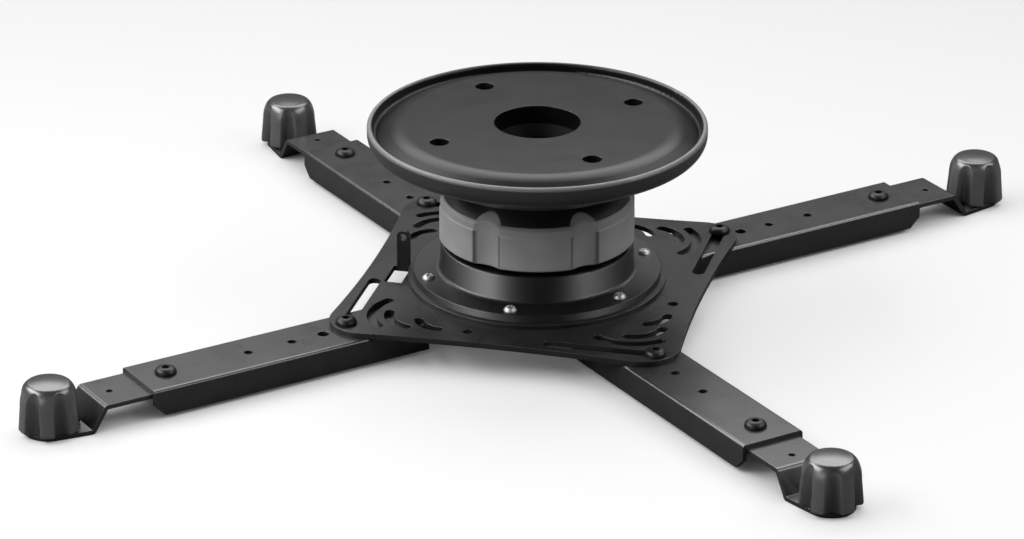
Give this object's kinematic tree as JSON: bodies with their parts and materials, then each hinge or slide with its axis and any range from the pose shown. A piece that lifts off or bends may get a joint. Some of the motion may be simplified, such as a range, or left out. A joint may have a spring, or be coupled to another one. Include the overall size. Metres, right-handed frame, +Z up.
{
  "type": "projector mount",
  "caption": "Ceiling mount for a projector: a round dish on a lockable ball joint carries a slotted plate with swinging, sliding arms that end in thumb knobs.",
  "frame": {"origin": "on the axis of the dish and pedestal, at the underside of the feet", "axes": "+Z up, out of the ceiling face; the arms lie on the diagonals of X and Y"},
  "size_m": [0.3686, 0.3686, 0.0905],
  "materials": {
    "cast_black": "satin black powder coat on a casting",
    "bare_cast": "black anodised, turned",
    "pedestal_black": "semi-gloss black paint on a casting",
    "nylon": "natural nylon",
    "collar_grey": "satin mid-grey moulded plastic",
    "shoulder_black": "matte black moulded plastic",
    "plate_coat": "fine-textured dark powder coat on sheet steel",
    "arm_coat": "fine-textured dark grey powder coat on sheet steel",
    "black_steel": "black oxide",
    "zinc_steel": "bright zinc",
    "knob_plastic": "satin dark moulded plastic",
    "insert_brass": "turned brass"
  },
  "bodies": {
    "adapter": {"adapter_plate": "plate_coat", "base_flange": "pedestal_black", "flange_ring": "plate_coat", "flange_screws": "zinc_steel"},
    "collar": {"locking_collar": "collar_grey", "collar_shoulder": "shoulder_black"},
    "seat": {"seat_cup": "nylon"},
    "liner": {"ball_liner": "nylon"},
    "dish": {"ball_stem": "bare_cast", "ceiling_dish": "cast_black"},
    "bolt_1": {"arm_bolt_1": "black_steel", "arm_nut_1": "zinc_steel"},
    "arm_1": {"arm_channel_1": "arm_coat", "clamp_screw_1": "black_steel", "clamp_nut_1": "zinc_steel"},
    "tongue_1": {"arm_tongue_1": "arm_coat"},
    "knob_1": {"foot_knob_1": "knob_plastic", "knob_insert_1": "insert_brass"},
    "bolt_2": {"arm_bolt_2": "black_steel", "arm_nut_2": "zinc_steel"},
    "arm_2": {"arm_channel_2": "arm_coat", "clamp_screw_2": "black_steel", "clamp_nut_2": "zinc_steel"},
    "tongue_2": {"arm_tongue_2": "arm_coat"},
    "knob_2": {"foot_knob_2": "knob_plastic", "knob_insert_2": "insert_brass"},
    "bolt_3": {"arm_bolt_3": "black_steel", "arm_nut_3": "zinc_steel"},
    "arm_3": {"arm_channel_3": "arm_coat", "clamp_screw_3": "black_steel", "clamp_nut_3": "zinc_steel"},
    "tongue_3": {"arm_tongue_3": "arm_coat"},
    "knob_3": {"foot_knob_3": "knob_plastic", "knob_insert_3": "insert_brass"},
    "bolt_4": {"arm_bolt_4": "black_steel", "arm_nut_4": "zinc_steel"},
    "arm_4": {"arm_channel_4": "arm_coat", "clamp_screw_4": "black_steel", "clamp_nut_4": "zinc_steel"},
    "tongue_4": {"arm_tongue_4": "arm_coat"},
    "knob_4": {"foot_knob_4": "knob_plastic", "knob_insert_4": "insert_brass"}
  },
  "joints": [
    {"name": "collar_turn", "type": "hinge", "parent": "adapter", "child": "collar", "pos_m": [0, 0, 0.05], "axis": [0, 0, 1], "range_deg": [0, 120]},
    {"name": "dish_pan", "type": "hinge", "parent": "adapter", "child": "seat", "pos_m": [0, 0, 0.05], "axis": [0, 0, 1], "continuous": true},
    {"name": "dish_tilt", "type": "hinge", "parent": "seat", "child": "liner", "pos_m": [0, 0, 0.05], "axis": [1, 0, 0], "range_deg": [-12, 12]},
    {"name": "dish_roll", "type": "hinge", "parent": "liner", "child": "dish", "pos_m": [0, 0, 0.05], "axis": [0, 1, 0], "range_deg": [-12, 12]},
    {"name": "arm_shift_1", "type": "slide", "parent": "adapter", "child": "bolt_1", "axis": [0, -1, 0], "range_m": [0, 0.047]},
    {"name": "arm_swing_1", "type": "hinge", "parent": "bolt_1", "child": "arm_1", "pos_m": [0.06894, 0.06894, 0.0139], "axis": [0, 0, 1], "range_deg": [-25, 25]},
    {"name": "tongue_slide_1", "type": "slide", "parent": "arm_1", "child": "tongue_1", "axis": [0.7071, 0.7071, 0], "range_m": [-0.008, 0.05]},
    {"name": "knob_turn_1", "type": "hinge", "parent": "tongue_1", "child": "knob_1", "pos_m": [0.17077, 0.17077, 0], "axis": [0, 0, 1], "continuous": true},
    {"name": "arm_shift_2", "type": "slide", "parent": "adapter", "child": "bolt_2", "axis": [1, 0, 0], "range_m": [0, 0.047]},
    {"name": "arm_swing_2", "type": "hinge", "parent": "bolt_2", "child": "arm_2", "pos_m": [-0.06894, 0.06894, 0.0139], "axis": [0, 0, 1], "range_deg": [-25, 25]},
    {"name": "tongue_slide_2", "type": "slide", "parent": "arm_2", "child": "tongue_2", "axis": [-0.7071, 0.7071, 0], "range_m": [-0.008, 0.05]},
    {"name": "knob_turn_2", "type": "hinge", "parent": "tongue_2", "child": "knob_2", "pos_m": [-0.16263, 0.16263, 0], "axis": [0, 0, 1], "continuous": true},
    {"name": "arm_shift_3", "type": "slide", "parent": "adapter", "child": "bolt_3", "axis": [0, 1, 0], "range_m": [0, 0.047]},
    {"name": "arm_swing_3", "type": "hinge", "parent": "bolt_3", "child": "arm_3", "pos_m": [-0.06894, -0.06894, 0.0139], "axis": [0, 0, 1], "range_deg": [-25, 25]},
    {"name": "tongue_slide_3", "type": "slide", "parent": "arm_3", "child": "tongue_3", "axis": [-0.7071, -0.7071, 0], "range_m": [-0.008, 0.05]},
    {"name": "knob_turn_3", "type": "hinge", "parent": "tongue_3", "child": "knob_3", "pos_m": [-0.17077, -0.17077, 0], "axis": [0, 0, 1], "continuous": true},
    {"name": "arm_shift_4", "type": "slide", "parent": "adapter", "child": "bolt_4", "axis": [-1, 0, 0], "range_m": [0, 0.047]},
    {"name": "arm_swing_4", "type": "hinge", "parent": "bolt_4", "child": "arm_4", "pos_m": [0.06894, -0.06894, 0.0139], "axis": [0, 0, 1], "range_deg": [-25, 25]},
    {"name": "tongue_slide_4", "type": "slide", "parent": "arm_4", "child": "tongue_4", "axis": [0.7071, -0.7071, 0], "range_m": [-0.008, 0.05]},
    {"name": "knob_turn_4", "type": "hinge", "parent": "tongue_4", "child": "knob_4", "pos_m": [0.16263, -0.16263, 0], "axis": [0, 0, 1], "continuous": true}
  ]
}
